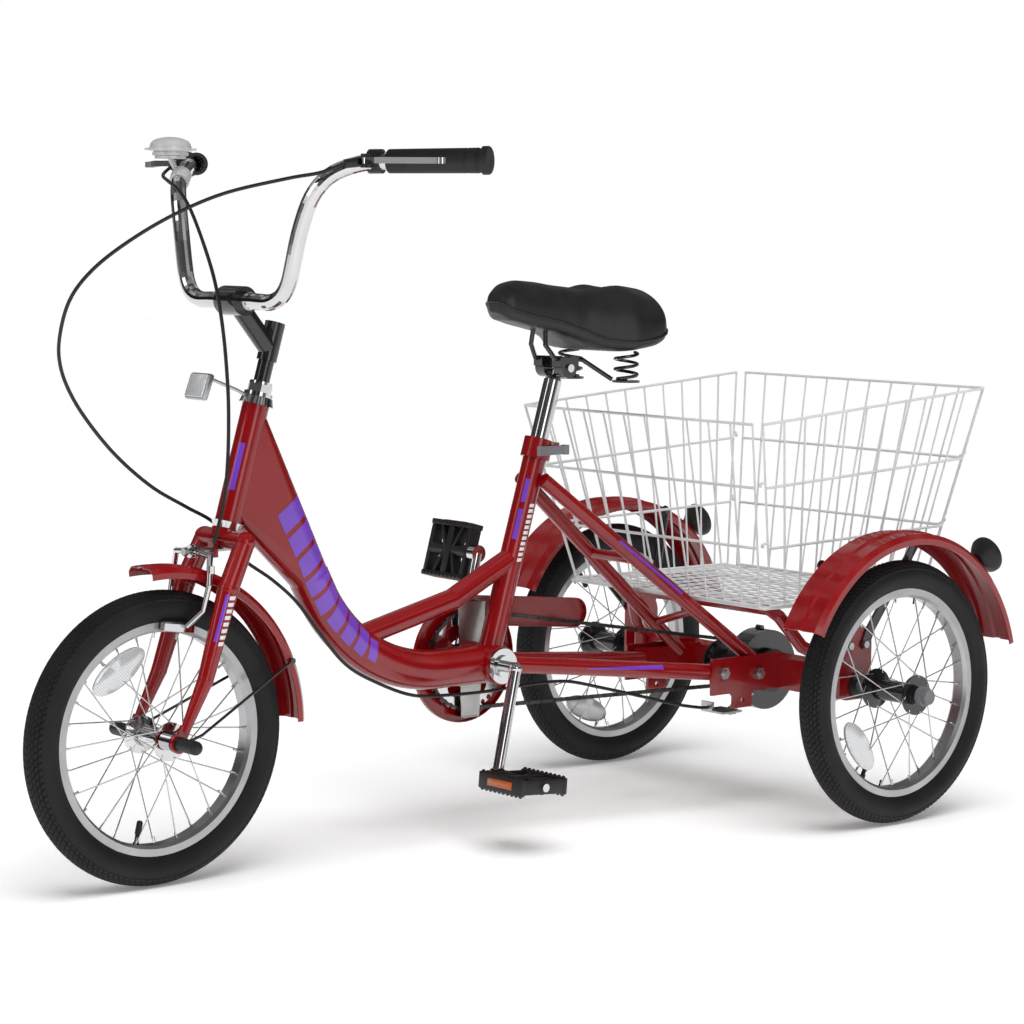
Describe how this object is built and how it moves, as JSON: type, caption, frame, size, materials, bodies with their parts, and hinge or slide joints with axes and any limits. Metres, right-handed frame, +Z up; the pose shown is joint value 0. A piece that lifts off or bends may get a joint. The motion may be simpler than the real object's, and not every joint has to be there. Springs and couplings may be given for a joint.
{
  "type": "adult tricycle",
  "caption": "Low step-through pedal tricycle for adults with a wire cargo basket between the rear wheels, sprung saddle, swept handlebar and full fenders.",
  "frame": {"origin": "bottom centre of the bounding box, on the ground midway between the front tyre and the back of the basket", "axes": "+X forward along the direction of travel, +Y to the rider's left along the wheel axles, +Z up"},
  "size_m": [1.573, 0.772, 1.0058],
  "materials": {
    "red_paint": "gloss",
    "chrome": "polished",
    "alloy": "satin",
    "steel": "satin",
    "black_metal": "gloss",
    "black_plastic": "matte",
    "rubber": "matte",
    "tyre": "matte",
    "saddle_vinyl": "satin",
    "white_wire": "gloss",
    "red_lens": "gloss",
    "clear_lens": "gloss",
    "dark_steel": "satin",
    "zinc": "satin"
  },
  "bodies": {
    "frame": {"main_frame": "red_paint", "rear_stays": "red_paint", "axle_frame": "red_paint", "bearing_cups": "chrome", "seat_collar": "red_paint", "frame_hardware": "steel", "chain_guard": "red_paint", "chain": "dark_steel", "rear_fenders": "red_paint", "fender_stays": "black_metal", "rear_reflectors": "red_lens", "basket_floor": "white_wire", "basket_walls": "white_wire", "axle_bearings": "dark_steel", "band_brake_cover": "black_metal", "rear_brake_cable": "black_plastic"},
    "brake_arm": {"band_brake_arm": "steel"},
    "clamp_lever": {"seat_lever": "zinc"},
    "post": {"seatpost": "chrome"},
    "saddle": {"saddle_clamp": "black_metal", "saddle_cover": "saddle_vinyl", "saddle_rails": "black_metal", "saddle_springs": "black_metal"},
    "fork_unit": {"fork": "red_paint", "headset_locknut": "chrome", "front_fender": "red_paint", "front_fender_stay": "black_metal", "front_reflector": "clear_lens", "front_axle": "black_plastic", "caliper_bolt": "steel", "front_brake_cable": "black_plastic"},
    "caliper_left": {"caliper_arm_left": "chrome"},
    "caliper_right": {"caliper_arm_right": "chrome"},
    "front_wheel": {"front_tyre": "tyre", "front_rim": "alloy", "front_hub": "chrome", "front_spokes": "chrome"},
    "stem_unit": {"stem": "black_metal"},
    "bars": {"handlebar": "chrome", "grips": "rubber", "lever_perches": "black_plastic", "bell_base": "steel"},
    "bell": {"bell_dome": "alloy"},
    "lever_left": {"brake_lever_left": "chrome"},
    "lever_right": {"brake_lever_right": "chrome"},
    "crankset": {"crank": "chrome", "chainring": "chrome"},
    "left_pedal": {"pedal_left": "black_plastic"},
    "right_pedal": {"pedal_right": "black_plastic"},
    "sprocket": {"rear_sprocket": "dark_steel"},
    "axle_unit": {"rear_axle": "zinc", "brake_drum": "dark_steel", "right_tyre": "tyre", "right_rim": "alloy", "right_hub": "black_metal", "right_spokes": "chrome"},
    "left_wheel": {"left_tyre": "tyre", "left_rim": "alloy", "left_hub": "black_metal", "left_spokes": "chrome"}
  },
  "joints": [
    {"name": "steering", "type": "hinge", "parent": "frame", "child": "fork_unit", "pos_m": [0.44763, 0, 0.56094], "axis": [-0.274, 0, 0.9617], "range_deg": [-40, 40], "deforming": ["rear_brake_cable"]},
    {"name": "stem_height", "type": "slide", "parent": "fork_unit", "child": "stem_unit", "axis": [-0.274, 0, 0.9617], "range_m": [0, 0.04], "deforming": ["front_brake_cable"]},
    {"name": "handlebar_tilt", "type": "hinge", "parent": "stem_unit", "child": "bars", "pos_m": [0.45985, 0, 0.7835], "axis": [0, 1, 0], "range_deg": [-12, 12]},
    {"name": "brake_lever_left_pull", "type": "hinge", "parent": "bars", "child": "lever_left", "pos_m": [0.40881, 0.2213, 0.97025], "axis": [0, 0, 1], "range_deg": [0, 12], "stiffness_Nm_per_rad": 2},
    {"name": "brake_lever_right_pull", "type": "hinge", "parent": "bars", "child": "lever_right", "pos_m": [0.40881, -0.2213, 0.97025], "axis": [0, 0, -1], "range_deg": [0, 12], "stiffness_Nm_per_rad": 2},
    {"name": "bell_twist", "type": "hinge", "parent": "bars", "child": "bell", "pos_m": [0.43985, -0.186, 0.9799], "axis": [0, 0, 1], "range_deg": [-20, 20], "stiffness_Nm_per_rad": 0.2},
    {"name": "front_wheel_spin", "type": "hinge", "parent": "fork_unit", "child": "front_wheel", "pos_m": [0.58655, 0, 0.2], "axis": [0, 1, 0], "continuous": true},
    {"name": "caliper_left_squeeze", "type": "hinge", "parent": "fork_unit", "child": "caliper_left", "pos_m": [0.52555, 0, 0.448], "axis": [-1, 0, 0], "range_deg": [0, 1.2]},
    {"name": "caliper_right_squeeze", "type": "hinge", "parent": "fork_unit", "child": "caliper_right", "pos_m": [0.52555, 0, 0.448], "axis": [1, 0, 0], "range_deg": [0, 1.2]},
    {"name": "crank_spin", "type": "hinge", "parent": "frame", "child": "crankset", "pos_m": [0.00655, 0, 0.251], "axis": [0, 1, 0], "continuous": true},
    {"name": "pedal_left_spin", "type": "hinge", "parent": "crankset", "child": "left_pedal", "pos_m": [0.05169, 0.13, 0.09959], "axis": [0, 1, 0], "continuous": true},
    {"name": "pedal_right_spin", "type": "hinge", "parent": "crankset", "child": "right_pedal", "pos_m": [-0.03859, -0.13, 0.40242], "axis": [0, 1, 0], "continuous": true},
    {"name": "sprocket_spin", "type": "hinge", "parent": "frame", "child": "sprocket", "pos_m": [-0.53445, -0.045, 0.2], "axis": [0, 1, 0], "continuous": true},
    {"name": "rear_axle_spin", "type": "hinge", "parent": "frame", "child": "axle_unit", "pos_m": [-0.53445, 0, 0.2], "axis": [0, 1, 0], "continuous": true},
    {"name": "left_wheel_spin", "type": "hinge", "parent": "frame", "child": "left_wheel", "pos_m": [-0.53445, 0.318, 0.2], "axis": [0, 1, 0], "continuous": true},
    {"name": "seat_height", "type": "slide", "parent": "frame", "child": "post", "axis": [-0.2823, 0, 0.9593], "range_m": [-0.08, 0.05]},
    {"name": "saddle_tilt", "type": "hinge", "parent": "post", "child": "saddle", "pos_m": [-0.1205, 0, 0.68269], "axis": [0, 1, 0], "range_deg": [-10, 10]},
    {"name": "seat_clamp_lever", "type": "hinge", "parent": "frame", "child": "clamp_lever", "pos_m": [-0.11321, 0.031, 0.56278], "axis": [0, 0, 1], "range_deg": [0, 120]},
    {"name": "band_brake_arm_pull", "type": "hinge", "parent": "frame", "child": "brake_arm", "pos_m": [-0.48945, 0.056, 0.172], "axis": [0, -1, 0], "range_deg": [0, 12]}
  ],
  "couplings": [
    {"joint": "caliper_left_squeeze", "follows": "brake_lever_right_pull", "ratio": 0.1},
    {"joint": "caliper_right_squeeze", "follows": "brake_lever_right_pull", "ratio": 0.1},
    {"joint": "band_brake_arm_pull", "follows": "brake_lever_left_pull", "ratio": 1},
    {"joint": "sprocket_spin", "follows": "crank_spin", "ratio": 2}
  ]
}
